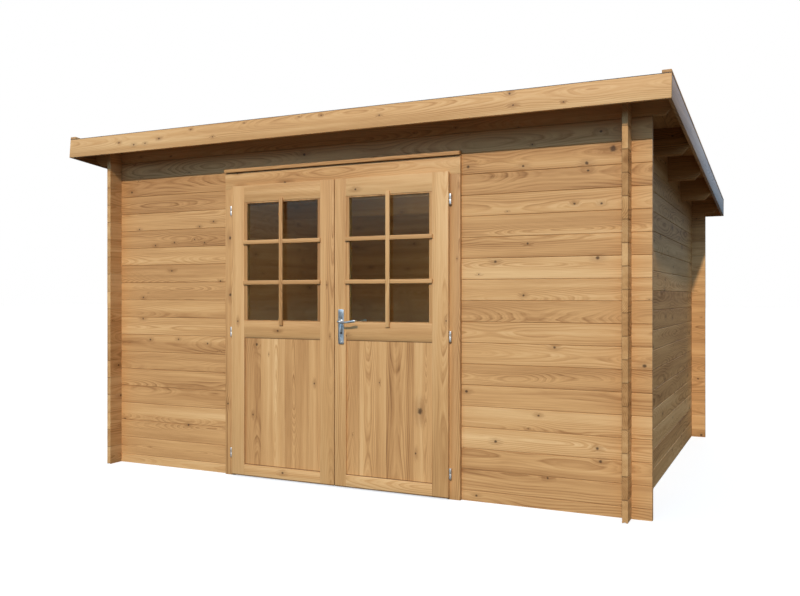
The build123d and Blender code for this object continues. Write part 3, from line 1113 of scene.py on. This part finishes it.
@dataclass
class LogWalls:
    """The log walls. Front and back start with half a log, the sides with a whole one."""

    pitch: float = 114 * MM
    joint_dark: float = 0.48
    # Darker tone of the left part of the front wall; the left side wall is lighter by as much, as painted
    # light on its face at the front corner.
    left_tone_and_light: float = 0.10
    level_shine: float = 0.22
    side_shine: float = 0.08
    level_seed: float = 11.0
    seed_step: float = 3.7
    left_seed: float = 51.0
    right_seed: float = 56.3
    stray_knots: float = 0.2
    left_knots: Knots = (
        (-0.892, 1.580, 8 * MM),
        (-1.003, 1.552, 7 * MM),
        (-1.502, 1.551, 7 * MM),
        (-1.043, 1.471, 7 * MM),
        (-1.206, 1.456, 8 * MM),
        (-0.963, 1.449, 7 * MM),
        (-1.365, 1.441, 8 * MM),
        (-0.838, 1.203, 8 * MM),
        (-1.468, 1.100, 8 * MM),
        (-1.408, 0.823, 9 * MM),
        (-1.173, 0.829, 8 * MM),
        (-0.940, 0.808, 9 * MM),
        (-1.092, 0.282, 9 * MM),
    )
    right_knots: Knots = (
        (1.597, 1.848, 22 * MM),
        (1.465, 1.784, 12 * MM),
        (1.520, 1.302, 12 * MM),
        (0.977, 1.292, 10 * MM),
        (1.402, 1.581, 8 * MM),
        (1.539, 1.575, 8 * MM),
        (1.154, 1.384, 8 * MM),
        (1.132, 1.111, 8 * MM),
        (1.298, 0.842, 10 * MM),
        (0.812, 0.591, 10 * MM),
        (1.213, 0.485, 8 * MM),
        (0.978, 0.332, 10 * MM),
        (1.519, 0.337, 10 * MM),
        (1.534, 0.273, 11 * MM),
        (0.870, 0.032, 9 * MM),
    )

    def dress(self) -> None:
        """Give every wall its logs' grain."""
        level_walls = (
            ("front_wall_left", self.left_tone_and_light, self.left_knots),
            ("front_wall_right", 0.0, self.right_knots),
            ("front_wall_over_door", 0.0, ()),
            ("back_wall", 0.0, ()),
        )
        start = -self.pitch / 2
        for number, (node, tone, marks) in enumerate(level_walls):
            seed = self.level_seed + self.seed_step * number
            dress_node(node, self.finish(Lay.LEVEL, seed, start, self.level_shine, tone, marks))
        # The left side wall is lighter in tone: painted light on its face beside the front corner.
        for node, seed, tone in (
            ("left_wall", self.left_seed, -self.left_tone_and_light),
            ("right_wall", self.right_seed, 0.0),
        ):
            dress_node(node, self.finish(Lay.RUNNING_BACK, seed, 0.0, self.side_shine, tone, ()))

    def finish(
        self, lay: Lay, seed: float, start: float, shine: float, tone: float, marks: Knots
    ) -> WoodFinish:
        """Wood of one wall.

        Args:
            lay: way of the grain.
            seed: start of its random values.
            start: height of the lowest joint.
            shine: how much it reflects.
            tone: how much darker than the rest.
            marks: knots as place along, place across and radius.

        Returns:
            The finish.
        """
        return WoodFinish(
            "log_wood",
            lay,
            seed,
            course=self.pitch,
            course_start=start,
            joint_dark=self.joint_dark,
            shine=shine,
            tone=tone,
            knot_share=self.stray_knots if marks else WoodFinish.knot_share,
            marks=marks,
        )


@dataclass
class Roof:
    """Roof deck of separate boards, felt in lapped strips, fascias, battens and purlins."""

    deck_thick: float = 16 * MM
    deck_count: int = 34
    board_gap: float = 0.6 * MM
    edge: float = 2.5 * MM
    felt_thick: float = 2 * MM
    lap_width: float = 90 * MM
    lap_thick: float = 1.6 * MM
    lap_edge: float = 0.6 * MM
    lap_count: int = 3
    nail_radius: float = 6 * MM
    nail_height: float = 1.5 * MM
    nail_edge: float = 0.5 * MM
    nail_pitch: float = 120 * MM
    nail_share: float = 0.28
    nail_sides: int = 10
    fascia_knots: Knots = (
        (-1.476, 2.089, 7 * MM),
        (-1.351, 2.066, 8 * MM),
        (-1.258, 2.067, 7 * MM),
        (-1.147, 2.089, 8 * MM),
        (-0.899, 2.123, 6 * MM),
        (-0.732, 2.064, 6 * MM),
        (0.022, 2.122, 6 * MM),
        (0.389, 2.087, 6 * MM),
        (1.123, 2.127, 8 * MM),
        (1.399, 2.056, 5 * MM),
    )

    def __post_init__(self) -> None:
        """Read the slope from the largest face of the felt."""
        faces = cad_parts["roof_felt"].data.polygons
        normal = max(faces, key=lambda face: face.area * (face.normal.z > 0)).normal
        self.pitch = -math.atan2(normal.y, normal.z)
        self.down = Vector((0.0, math.cos(self.pitch), math.sin(self.pitch)))
        self.out = Vector((0.0, -math.sin(self.pitch), math.cos(self.pitch)))

    def build(self) -> None:
        """Make the boards and laps and dress the rest."""
        self.deck()
        self.laps()
        dress_node("roof_felt", FeltFinish())
        # Purlins are darker in tone as painted shade, for the shade under the roof overhang.
        purlin = {"tone": 0.24, "shine": 0.03, "streak_gain": 0.5}
        fascia = {"tone": -0.09, "knot_share": 0.4, "streak_gain": 0.6}
        # Verge boards are darker in tone as painted shade of their shaded side faces; their shine and
        # gloss give the reflection.
        verge = {"tone": 0.34, "gloss": 0.26, "shine": 0.9}
        batten = {"tone": -0.02}
        for node, wood, lay, seed, looks in (
            ("front_purlin", "purlin_wood", Lay.LEVEL, 71.0, purlin),
            ("middle_purlin", "purlin_wood", Lay.LEVEL, 72.0, purlin),
            ("back_purlin", "purlin_wood", Lay.LEVEL, 73.0, purlin),
            ("front_fascia", "fascia_wood", Lay.LEVEL, 83.0, {**fascia, "marks": self.fascia_knots}),
            ("back_fascia", "fascia_wood", Lay.LEVEL, 84.0, fascia),
            ("left_fascia", "verge_wood", Lay.RUNNING_BACK, 93.0, verge),
            ("right_fascia", "verge_wood", Lay.RUNNING_BACK, 94.0, verge),
            ("left_batten", "fascia_wood", Lay.RUNNING_BACK, 97.0, batten),
            ("right_batten", "fascia_wood", Lay.RUNNING_BACK, 98.0, batten),
        ):
            self.board(node, WoodFinish(wood, lay, seed, **looks))

    def board(self, node: str, finish: WoodFinish) -> None:
        """Ease and dress a purlin, fascia or batten.

        Args:
            node: its CAD node.
            finish: its wood.
        """
        board = eased(copied(node, f"{node}_board"), self.edge)
        finish.apply(board)
        mount(board, "shed", [node])

    def deck(self) -> None:
        """Tongued boards down the slope, chamfered on the underside."""
        low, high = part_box("roof_boards")
        size = high - low
        length = (size.y - self.deck_thick * abs(self.out.y)) / self.down.y
        pitch = size.x / self.deck_count
        centre = (low + high) / 2
        centre.x = low.x + pitch / 2
        board_size = (pitch - self.board_gap, length, self.deck_thick)
        board = block("deck_boards", centre, board_size, self.pitch)
        select_faces(board, lambda face: face.normal.dot(self.out) < -FACING)
        bpy.ops.mesh.bevel(offset=self.edge, segments=1, affect="EDGES")
        leave_edit()
        rowed(board, self.deck_count, (pitch, 0.0, 0.0))
        looks = {"course": pitch, "course_start": low.x, "joint_dark": 0.5, "tone": 0.05}
        WoodFinish("deck_wood", Lay.DECK, 61.0, **looks).apply(board)
        mount(board, "shed", ["roof_boards"])

    def laps(self) -> None:
        """Raised laps where one strip of felt covers the next, with a row of clout nails on each."""
        low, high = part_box("roof_felt")
        width = -2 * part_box("left_batten")[1].x
        run = (high.y - low.y) / self.down.y
        step = self.down * (run / (self.lap_count + 1))
        moves = [step * number for number in range(1, self.lap_count)]
        first = (low + high) / 2 - self.down * (run / 2) + step
        first = first + self.out * ((self.felt_thick + self.lap_thick) / 2)
        strip = block("lap", first, (width, self.lap_width, self.lap_thick), self.pitch)
        lap = joined("felt_laps", repeated(eased(strip, self.lap_edge, 1), moves))
        FeltFinish().apply(lap)
        mount(lap, "shed")

        count = int(width / self.nail_pitch)
        head = first + self.out * ((self.lap_thick + self.nail_height) / 2)
        head = head + self.down * (self.lap_width * self.nail_share)
        head.x -= self.nail_pitch * (count - 1) / 2
        turn = (self.pitch, 0.0, 0.0)
        nail = rod("nail", head, self.nail_radius, self.nail_height, turn, self.nail_sides)
        rowed(eased(nail, self.nail_edge, 1), count, (self.nail_pitch, 0.0, 0.0))
        nails = joined("felt_nails", repeated(nail, moves))
        ZINC.apply(nails)
        mount(nails, "shed")


@dataclass
class Floor:
    """Boarded floor on joists."""

    board_count: int = 24
    board_gap: float = 0.8 * MM
    edge: float = 1.5 * MM

    def build(self) -> None:
        """Lay the boards and dress the joists."""
        low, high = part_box("floor_boards")
        pitch = (high.y - low.y) / self.board_count
        near, far = low.y + self.board_gap / 2, low.y + pitch - self.board_gap / 2
        board = block_between("floor_planks", (low.x, near, low.z), (high.x, far, high.z))
        rowed(eased(board, self.edge, 1), self.board_count, (0.0, pitch, 0.0))
        looks = {"course": pitch, "course_start": low.y, "joint_dark": 0.6, "tone": 0.05}
        WoodFinish("floor_wood", Lay.FLOOR, 131.0, **looks).apply(board)
        mount(board, "shed", ["floor_boards"])
        dress_node("floor_joists", WoodFinish("joist_wood", Lay.RUNNING_BACK, 137.0, tone=0.1))


@dataclass
class DoorFrame:
    """Posts, head, drip cap and sill round the doorway."""

    edge: float = 2.0 * MM

    def build(self) -> None:
        """Ease and dress each member."""
        for node, lay, seed, looks in (
            ("left_jamb", Lay.UPRIGHT, 141.0, {"tone": 0.04}),
            ("right_jamb", Lay.UPRIGHT, 143.0, {"tone": 0.05}),
            ("door_head", Lay.LEVEL, 147.0, {"tone": -0.05}),
            ("drip_cap", Lay.LEVEL, 149.0, {"tone": 0.06, "knot_share": 0.2}),
            ("threshold", Lay.LEVEL, 151.0, {"tone": 0.1}),
        ):
            piece = eased(copied(node, f"{node}_eased"), self.edge)
            WoodFinish("frame_wood", lay, seed, **looks).apply(piece)
            mount(piece, "shed", [node])


class Hand(Enum):
    """Which leaf, by the side of its hinges."""

    LEFT = "left"
    RIGHT = "right"


@dataclass(frozen=True)
class LeafGrain:
    """What sets the wood of one leaf apart from the other's."""

    seed: float
    stile_seed: float
    panel_tone: float
    panel_knots: Knots
    rail_knots: Knots


@dataclass
class DoorLeaf:
    """One door leaf: framing, boarded panel, glass with its beads and a lattice of bars on the glass."""

    GRAINS: ClassVar[dict[Hand, LeafGrain]] = {
        Hand.LEFT: LeafGrain(
            seed=161.0,
            stile_seed=161.0,
            panel_tone=0.10,
            panel_knots=((0.814, -0.541, 11 * MM), (0.385, -0.568, 8 * MM)),
            rail_knots=((-0.382, 0.900, 9 * MM), (-0.348, 0.050, 10 * MM)),
        ),
        Hand.RIGHT: LeafGrain(
            seed=188.0,
            stile_seed=211.9,
            panel_tone=0.04,
            panel_knots=((0.471, 0.5495, 21 * MM),),
            rail_knots=(),
        ),
    }

    hand: Hand
    edge: float = 1.8 * MM
    bar_width: float = 25 * MM
    bar_proud: float = 10 * MM
    bar_edge: float = 3.0 * MM
    bar_over_head: float = 15 * MM
    bar_over_foot: float = 26 * MM
    bar_over_stile: float = 3 * MM
    bar_heights: Span = (1.191, 1.437)
    panel_board: float = 0.17
    # Width of the painted shade line round the boarded panel.
    panel_edge_shade: float = 6 * MM
    # Height of the painted shadow along the foot of the stiles and rails.
    foot_shadow: float = 8 * MM

    def __post_init__(self) -> None:
        """Name the body and find the grain of this leaf."""
        self.body = f"{self.hand.value}_leaf"
        self.grain = self.GRAINS[self.hand]

    def build(self) -> None:
        """Make the bars and dress the leaf."""
        grain, seed = self.grain, self.grain.seed
        framing = {"tone_spread": 0.05, "foot_shadow": self.foot_shadow}
        stiles = {"course": 0.36, "course_start": -0.9, "tone": -0.05, "streak_gain": 0.6}
        # Rails are lighter in tone than the stiles, partly as tone and partly as painted light against the
        # shade on the lock rail's lower splay.
        rails = {"course": 0.5, "course_start": -0.2, "tone": -0.11, "marks": grain.rail_knots}
        beads = {"tone": 0.12, "knot_share": 0.0}
        panel = {
            "course": self.panel_board,
            "tone": grain.panel_tone,
            "tone_spread": 0.16,
            "marks": grain.panel_knots,
            "edge_shade_width": self.panel_edge_shade,
        }
        wood = WoodFinish("leaf_wood", Lay.UPRIGHT, grain.stile_seed, **stiles, **framing)
        self.member("stiles", wood)
        self.member("rails", WoodFinish("leaf_wood", Lay.LEVEL, seed + 2, **rails, **framing))
        self.member("glazing_beads", WoodFinish("leaf_wood", Lay.UPRIGHT, seed + 4, **beads))
        dress_node(f"{self.body}_panel", WoodFinish("panel_wood", Lay.UPRIGHT, seed + 6, **panel))
        dress_node(f"{self.body}_glass", GlassFinish())
        self.bars()

    def member(self, part: str, finish: WoodFinish) -> None:
        """Ease and dress one part of the leaf.

        Args:
            part: name of the part.
            finish: its wood.
        """
        node = f"{self.body}_{part}"
        piece = eased(copied(node, f"{node}_eased"), self.edge)
        finish.apply(piece)
        mount(piece, self.body, [node])

    def bars(self) -> None:
        """Upright and cross bars laid on the face of the leaf over the glass."""
        low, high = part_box(f"{self.body}_glass")
        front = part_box(f"{self.body}_stiles")[0].y - self.bar_proud
        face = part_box(f"{self.body}_glazing_beads")[0].y
        middle = (low.x + high.x) / 2
        half = self.bar_width / 2
        upright = block_between(
            f"{self.body}_upright_bar",
            (middle - half, front, low.z - self.bar_over_foot),
            (middle + half, face, high.z + self.bar_over_head),
        )
        eased(upright, self.bar_edge)
        WoodFinish("bar_wood", Lay.UPRIGHT, self.grain.seed + 8, knot_share=0.0).apply(upright)
        mount(upright, self.body)

        lower, upper = self.bar_heights
        start = low.x - self.bar_over_stile
        bar = block_between("bar", (start, front, lower - half), (middle - half, face, lower + half))
        aside, rise = middle + half - start, upper - lower
        moves = ((aside, 0.0, 0.0), (0.0, 0.0, rise), (aside, 0.0, rise))
        cross = joined(f"{self.body}_cross_bars", repeated(eased(bar, self.bar_edge), moves))
        WoodFinish("bar_wood", Lay.LEVEL, self.grain.seed + 9, course=0.2, knot_share=0.0).apply(cross)
        mount(cross, self.body)


@dataclass
class Hinges:
    """Three drilled-in hinges on one side: knuckles with rounded ends on screwed studs."""

    hand: Hand
    heights: tuple[float, float, float] = (0.142, 0.888, 1.636)
    barrel_radius: float = 7.5 * MM
    barrel_sides: int = 32
    half_barrel: float = 30 * MM
    gap: float = 0.3 * MM
    rounding: float = 2.2 * MM
    rounding_facets: int = 3
    stud_radius: float = 3 * MM
    stud_sides: int = 12
    stud_edge: float = 0.3 * MM
    collar_radius: float = 5 * MM
    collar_thick: float = 1.5 * MM
    collar_sides: int = 16
    collar_edge: float = 0.4 * MM

    def build(self) -> None:
        """Make both halves of one hinge and copy them to the other heights."""
        side = self.hand.value
        low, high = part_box(f"{side}_frame_hinges")
        x = (low.x + high.x) / 2
        y = low.y + self.barrel_radius
        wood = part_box(f"{side}_jamb")[0].y
        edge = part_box(f"{side}_leaf_stiles")[1 if self.hand is Hand.RIGHT else 0].x
        length = self.half_barrel - self.gap / 2
        apart = (self.gap + length) / 2
        lower, upper = self.heights[0] - apart, self.heights[0] + apart
        seat = (x, wood - self.collar_thick / 2, lower)
        collar = rod("collar", seat, self.collar_radius, self.collar_thick, ALONG_Y, self.collar_sides)
        frame_half = [
            self.knuckle((x, y, lower), length),
            self.stud((x, (y + wood) / 2, lower), wood - y, ALONG_Y),
            eased(collar, self.collar_edge, 1),
        ]
        leaf_half = [
            self.knuckle((x, y, upper), length),
            self.stud(((x + edge) / 2, y, upper), abs(x - edge), ALONG_X),
        ]
        moves = [(0.0, 0.0, height - self.heights[0]) for height in self.heights[1:]]
        for shapes, node, body in (
            (frame_half, f"{side}_frame_hinges", "shed"),
            (leaf_half, f"{side}_leaf_hinges", f"{side}_leaf"),
        ):
            whole = joined(f"{node}_knuckles", repeated(joined("half", shapes), moves))
            ZINC.apply(whole)
            mount(whole, body, [node])

    def knuckle(self, centre: Corner, length: float) -> Piece:
        """One half of a barrel with rounded rims."""
        barrel = rod("knuckle", centre, self.barrel_radius, length, STANDING, self.barrel_sides)
        return eased(barrel, self.rounding, self.rounding_facets)

    def stud(self, centre: Corner, length: float, turn: Corner) -> Piece:
        """The stud that holds one half in the wood."""
        pin = rod("stud", centre, self.stud_radius, length, turn, self.stud_sides)
        return eased(pin, self.stud_edge, 1)


@dataclass(frozen=True)
class Section:
    """One section of a lever: its middle, turn towards the grip, half width and half height."""

    spot: Vector
    turn: float
    wide: float
    high: float


@dataclass
class LeverSet:
    """Long plates, screws and two waved levers on one spindle."""

    edge: float = 1.2 * MM
    rose_radius: float = 12 * MM
    rose_height: float = 4 * MM
    rose_edge: float = 1.5 * MM
    rose_facets: int = 3
    rose_sides: int = 32
    neck_radius: float = 7.5 * MM
    neck_start: float = 1 * MM
    stand: float = 45 * MM
    bend: float = 14 * MM
    bend_steps: int = 5
    grip_length: float = 118 * MM
    grip_steps: int = 12
    grip_flat: float = 0.72
    grip_swell: float = 0.50
    grip_close: float = 0.55
    wave: float = 4 * MM
    wave_turns: float = 0.75
    smoothing: int = 2
    screw_radius: float = 4.2 * MM
    screw_inset: float = 12 * MM
    screw_height: float = 1.6 * MM
    screw_rim: float = 1.9 * MM
    screw_dish: float = 0.9 * MM
    fine_edge: float = 0.3 * MM
    plate_thick: float = 6 * MM
    # Size of the dark keyhole plugs that paint the shade in the keyholes.
    keyhole_drop: float = 68 * MM
    shade_plug_radius: float = 5.8 * MM
    shade_plug_drop: float = 18 * MM
    shade_plug_thick: float = 4.5 * MM
    shade_plug_sides: int = 21
    sides: int = 16

    def __post_init__(self) -> None:
        """Find the axis of the levers and the faces of the plates."""
        low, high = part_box("spindle")
        self.axis = (low + high) / 2
        self.low, self.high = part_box("handle_plates")

    def build(self) -> None:
        """Make plates, screws and levers and dress the spindle."""
        plates = eased(copied("handle_plates", "handle_plates_eased"), self.edge)
        STEEL.apply(plates)
        mount(plates, "right_leaf", ["handle_plates"])
        self.screws()
        for node, face, out in (("outside_lever", self.low.y, -1), ("inside_lever", self.high.y, 1)):
            self.lever(node, face, out)
        dress_node("spindle", STEEL)
        self.shade_plugs()

    def screws(self) -> None:
        """Dished screw heads near both ends of each plate."""
        x = (self.low.x + self.high.x) / 2
        lower, upper = self.low.z + self.screw_inset, self.high.z - self.screw_inset
        heads = []
        for face, out in ((self.low.y, -1), (self.high.y, 1)):
            centre = (x, face + out * self.screw_height / 2, lower)
            head = rod("head", centre, self.screw_radius, self.screw_height, ALONG_Y, self.sides)
            select_faces(head, lambda side, out=out: side.normal.y * out > FACING)
            bpy.ops.mesh.inset(thickness=self.screw_rim, depth=0.0)
            dish = (0.0, -out * self.screw_dish, 0.0)
            bpy.ops.mesh.extrude_region_move(TRANSFORM_OT_translate={"value": dish})
            leave_edit()
            heads += repeated(eased(head, self.fine_edge, 1), [(0.0, 0.0, upper - lower)])
        whole = joined("handle_plate_screws", heads)
        ZINC.apply(whole)
        mount(whole, "right_leaf")

    def shade_plugs(self) -> None:
        """Dark plugs that stand back in the keyholes of both plates, for the lock behind them; their dark
        colour is painted shade inside the keyholes.
        """
        inset = self.plate_thick - self.shade_plug_thick / 2
        outside, inside = self.low.y + inset, self.high.y - inset
        centre = (self.axis.x, outside, self.axis.z - self.keyhole_drop)
        shade_plug = rod("shade_plug", centre, self.shade_plug_radius, self.shade_plug_thick, ALONG_Y, self.shade_plug_sides)
        select_faces(shade_plug, lambda side: side.normal.z < -FACING)
        drop = (0.0, 0.0, -self.shade_plug_drop)
        bpy.ops.mesh.extrude_region_move(TRANSFORM_OT_translate={"value": drop})
        leave_edit()
        eased(shade_plug, self.fine_edge, 1)
        whole = joined("keyhole_shade_plugs", repeated(shade_plug, [(0.0, inside - outside, 0.0)]))
        KEYHOLE_SHADE.apply(whole)
        mount(whole, "right_leaf")

    def lever(self, node: str, face: float, out: int) -> None:
        """Draw a lever out of a disc and set it on its rose.

        Args:
            node: the CAD node that it stands for.
            face: Y of the plate's face.
            out: -1 in front of the leaf, 1 behind it.
        """
        centre = (self.axis.x, face + out * self.rose_height / 2, self.axis.z)
        rose = rod("rose", centre, self.rose_radius, self.rose_height, ALONG_Y, self.rose_sides)
        eased(rose, self.rose_edge, self.rose_facets)
        arm = self.drawn("arm", self.sections(face, out), out)
        modified(arm, "SUBSURF", {"levels": self.smoothing, "render_levels": self.smoothing})
        pick(arm)
        bpy.ops.object.shade_smooth()
        whole = joined(f"{node}_waved", [arm, rose])
        STEEL.apply(whole)
        mount(whole, "lever", [node])

    def sections(self, face: float, out: int) -> list[Section]:
        """Lay out a lever: neck, elbow and a waved grip that swells to its end.

        Args:
            face: Y of the plate's face.
            out: -1 in front of the leaf, 1 behind it.

        Returns:
            Its sections from the plate to the tip.
        """
        x, z, neck = self.axis.x, self.axis.z, self.neck_radius
        end = face + out * (self.stand - self.bend)
        found = [
            Section(Vector((x, face + out * self.neck_start, z)), 0.0, neck, neck),
            Section(Vector((x, end, z)), 0.0, neck, neck),
        ]
        for step in range(1, self.bend_steps + 1):
            angle = math.pi / 2 * step / self.bend_steps
            aside, outward = self.bend * (1 - math.cos(angle)), self.bend * math.sin(angle)
            found.append(Section(Vector((x + aside, end + out * outward, z)), angle, neck, neck))
        for step in range(1, self.grip_steps + 1):
            share = step / self.grip_steps
            rise = -self.wave * math.sin(share * self.wave_turns * 2 * math.pi)
            reach = self.bend + (self.grip_length - self.bend) * share
            spot = Vector((x + reach, end + out * self.bend, z + rise))
            size = neck * (self.grip_close if step == self.grip_steps else 1.0)
            swell = self.grip_flat + self.grip_swell * share ** 2
            found.append(Section(spot, math.pi / 2, size * self.grip_flat, size * swell))
        return found

    def drawn(self, name: str, sections: Sequence[Section], out: int) -> Piece:
        """Extrude a disc from section to section.

        Args:
            name: name of the piece.
            sections: its sections in order.
            out: -1 in front of the leaf, 1 behind it.

        Returns:
            A closed bar.
        """
        first = sections[0]
        bpy.ops.object.select_all(action="DESELECT")
        bpy.ops.mesh.primitive_circle_add(
            vertices=self.sides,
            radius=first.wide,
            fill_type="NGON",
            location=first.spot,
            rotation=ALONG_Y,
        )
        bar = settle(bpy.context.object, name)
        select_faces(bar, lambda face: True)
        for old, new in zip(sections, sections[1:]):
            bpy.ops.mesh.extrude_region_move(TRANSFORM_OT_translate={"value": new.spot - old.spot})
            if new.turn != old.turn:
                turn = out * (new.turn - old.turn)
                bpy.ops.transform.rotate(value=turn, orient_axis="Z", center_override=new.spot)
            across, upward = new.wide / old.wide, new.high / old.high
            bpy.ops.transform.resize(value=(across, across, upward), center_override=new.spot)
        bpy.ops.mesh.select_all(action="SELECT")
        bpy.ops.mesh.normals_make_consistent(inside=False)
        leave_edit()
        return bar


@dataclass
class Studio:
    """Pale floor, soft daylight and the camera."""

    WHITE: ClassVar[Colour] = (1.0, 1.0, 1.0)

    floor_size: float = 160.0
    floor_pale: Colour = (0.5, 0.5, 0.5)
    floor_glow: float = 0.62
    sun_towards: Corner = (0.2, -1.0, 0.675)
    sun_colour: Colour = (1.0, 0.89, 0.735)
    sun_strength: float = 2.52
    sun_spread: float = 2.0
    fill_towards: Corner = (-0.45, 1.0, 0.55)
    fill_strength: float = 1.3
    fill_spread: float = 40.0
    lamp_distance: float = 10.0
    front_sky: Colour = (0.80, 1.38, 2.12)
    side_sky: Colour = (0.26, 0.34, 0.43)
    back_sky: Colour = (0.40, 0.63, 0.90)
    skyline: Colour = (0.12, 0.135, 0.14)
    ground: Colour = (0.10, 0.105, 0.10)
    front_span: Span = (0.25, 0.8)
    back_span: Span = (0.5, 0.9)
    back_lift: float = 0.06
    skyline_span: Span = (-0.06, 0.04)
    sky_span: Span = (0.04, 0.22)
    room_lamp: float = 13.5
    room_colour: Colour = (0.95, 1.0, 0.97)
    room_height: float = 1.2
    room_soft: float = 0.5
    lens: float = 37.085
    sensor: float = 36.0
    azimuth: float = 25.51
    camera_x: float = 2.41196
    camera_back: float = 4.18973
    camera_z: float = 1.10336
    frame_shift: float = -0.0013
    far_clip: float = 400.0

    def build(self) -> None:
        """Set up floor, light and camera."""
        self.floor()
        self.world()
        self.lamps()
        self.camera()
        bpy.context.scene.view_settings.view_transform = "Standard"

    def floor(self) -> None:
        """Pale ground that shows and takes shadows."""
        bpy.ops.object.select_all(action="DESELECT")
        bpy.ops.mesh.primitive_plane_add(size=self.floor_size)
        floor = settle(bpy.context.object, "studio_floor")
        dressed(floor, "studio_floor").surface(
            {
                "Base Color": (*self.floor_pale, 1.0),
                "Roughness": 1.0,
                "Specular IOR Level": 0.0,
                "Emission Color": (*self.WHITE, 1.0),
                "Emission Strength": self.floor_glow,
            }
        )
        floor.visible_diffuse = False
        floor.visible_glossy = False

    def world(self) -> None:
        """White backdrop, with a dimmer sky and ground for the light."""
        world = bpy.data.worlds.new("daylight")
        bpy.context.scene.world = world
        world.use_nodes = True
        graph = Graph(world.node_tree)
        direction = graph.take("ShaderNodeTexCoord", "Generated", {}, {})
        split = graph.node("ShaderNodeSeparateXYZ", {}, {0: direction})
        height = Term(graph, split.outputs["Z"])
        depth = Term(graph, split.outputs["Y"])
        behind = depth.rise(*self.back_span)
        sky = graph.mix(self.side_sky, self.front_sky, (0 - depth).rise(*self.front_span))
        sky = graph.mix(sky, self.back_sky, behind)
        light = graph.mix(self.ground, self.skyline, height.rise(*self.skyline_span))
        light = graph.mix(light, sky, (height + behind * self.back_lift).rise(*self.sky_span))
        seen = graph.take("ShaderNodeLightPath", "Is Camera Ray", {}, {})
        colour = graph.mix(light, self.WHITE, seen)
        graph.close(graph.node("ShaderNodeBackground", {}, {"Color": colour}), "ShaderNodeOutputWorld")

    def lamps(self) -> None:
        """One soft sun, a wide fill on the back, and a weak lamp in the room behind the glass."""
        self.sun(self.sun_towards, self.sun_strength, self.sun_spread, self.sun_colour)
        self.sun(self.fill_towards, self.fill_strength, self.fill_spread, self.WHITE)
        low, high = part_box("floor_boards")
        bpy.ops.object.light_add(type="POINT", location=(0.0, (low.y + high.y) / 2, self.room_height))
        lamp = bpy.context.object
        lamp.data.energy = self.room_lamp
        lamp.data.color = self.room_colour
        lamp.data.shadow_soft_size = self.room_soft
        lamp.visible_camera = False
        lamp.visible_transmission = False
        lamp.visible_glossy = False

    def sun(self, towards: Corner, strength: float, spread: float, colour: Colour) -> None:
        """Add a sun.

        Args:
            towards: the way to it.
            strength: how bright it is.
            spread: how wide it is, in degrees.
            colour: its colour.
        """
        bpy.ops.object.select_all(action="DESELECT")
        bpy.ops.object.light_add(type="SUN", location=Vector(towards) * self.lamp_distance)
        sun = bpy.context.object
        sun.rotation_euler = Vector(towards).to_track_quat("Z", "Y").to_euler()
        sun.data.energy = strength
        sun.data.angle = math.radians(spread)
        sun.data.color = colour

    def camera(self) -> None:
        """Camera at the photograph's viewing angle."""
        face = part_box("front_wall_left")[0].y
        bpy.ops.object.select_all(action="DESELECT")
        bpy.ops.object.camera_add(
            location=(self.camera_x, face - self.camera_back, self.camera_z),
            rotation=(math.pi / 2, 0.0, math.radians(self.azimuth)),
        )
        camera = bpy.context.object
        camera.data.lens = self.lens
        camera.data.sensor_width = self.sensor
        camera.data.shift_y = self.frame_shift
        camera.data.clip_end = self.far_clip
        bpy.context.scene.camera = camera


def main() -> None:
    """Build the sub-assemblies in order."""
    logging.basicConfig(level=logging.INFO, format="%(message)s")
    LogWalls().dress()
    Roof().build()
    Floor().build()
    DoorFrame().build()
    for hand in Hand:
        DoorLeaf(hand).build()
        Hinges(hand).build()
    LeverSet().build()
    Studio().build()


if __name__ == "__main__":
    main()
